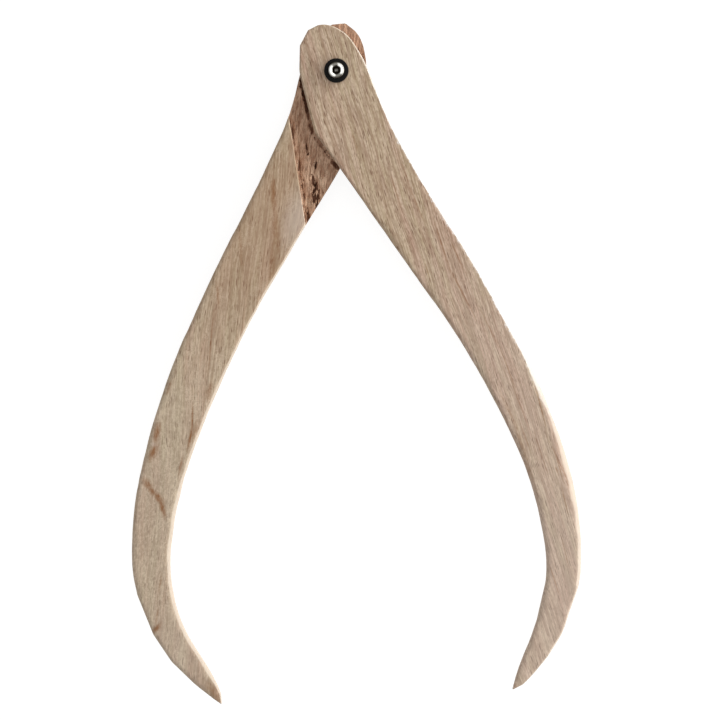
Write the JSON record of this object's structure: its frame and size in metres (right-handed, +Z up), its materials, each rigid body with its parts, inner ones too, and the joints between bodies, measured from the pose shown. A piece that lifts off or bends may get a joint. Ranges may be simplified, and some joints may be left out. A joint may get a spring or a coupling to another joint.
{
  "type": "pottery caliper",
  "caption": "Wooden outside caliper for thrown pots: bowed arms with pointed tips, half-lapped and hinged on a socket-head screw with rubber washers and a lock nut.",
  "frame": {"origin": "centre of the overall box, on the floor that the screw's end touches when the caliper lies flat with its screw head up", "axes": "+Z up along the pivot screw towards its head; -Y from the pivot towards the tips, along the line midway between the arms; +X towards the front arm"},
  "size_m": [0.2246, 0.3372, 0.0239],
  "materials": {
    "front_arm_wood": "sanded bare beech",
    "rear_arm_wood": "sanded bare beech, split grain in the lap",
    "washer_rubber": "matt",
    "screw_steel": "turned, bright",
    "nut_steel": "bright zinc",
    "collar_nylon": "satin"
  },
  "bodies": {
    "rear_leg": {"rear_arm": "rear_arm_wood", "rear_washer": "washer_rubber", "lock_nut": "nut_steel", "nut_collar": "collar_nylon"},
    "front_leg": {"front_arm": "front_arm_wood", "front_washer": "washer_rubber"},
    "tension_screw": {"pivot_screw": "screw_steel"}
  },
  "joints": [
    {"name": "arm_pivot", "type": "hinge", "parent": "rear_leg", "child": "front_leg", "pos_m": [0.00215, 0.14448, 0.013], "axis": [0, 0, 1], "range_deg": [-26.2, 262]},
    {"name": "screw_turn", "type": "hinge", "parent": "rear_leg", "child": "tension_screw", "pos_m": [0.00215, 0.14448, 0.013], "axis": [0, 0, 1], "range_deg": [-90, 90]}
  ]
}
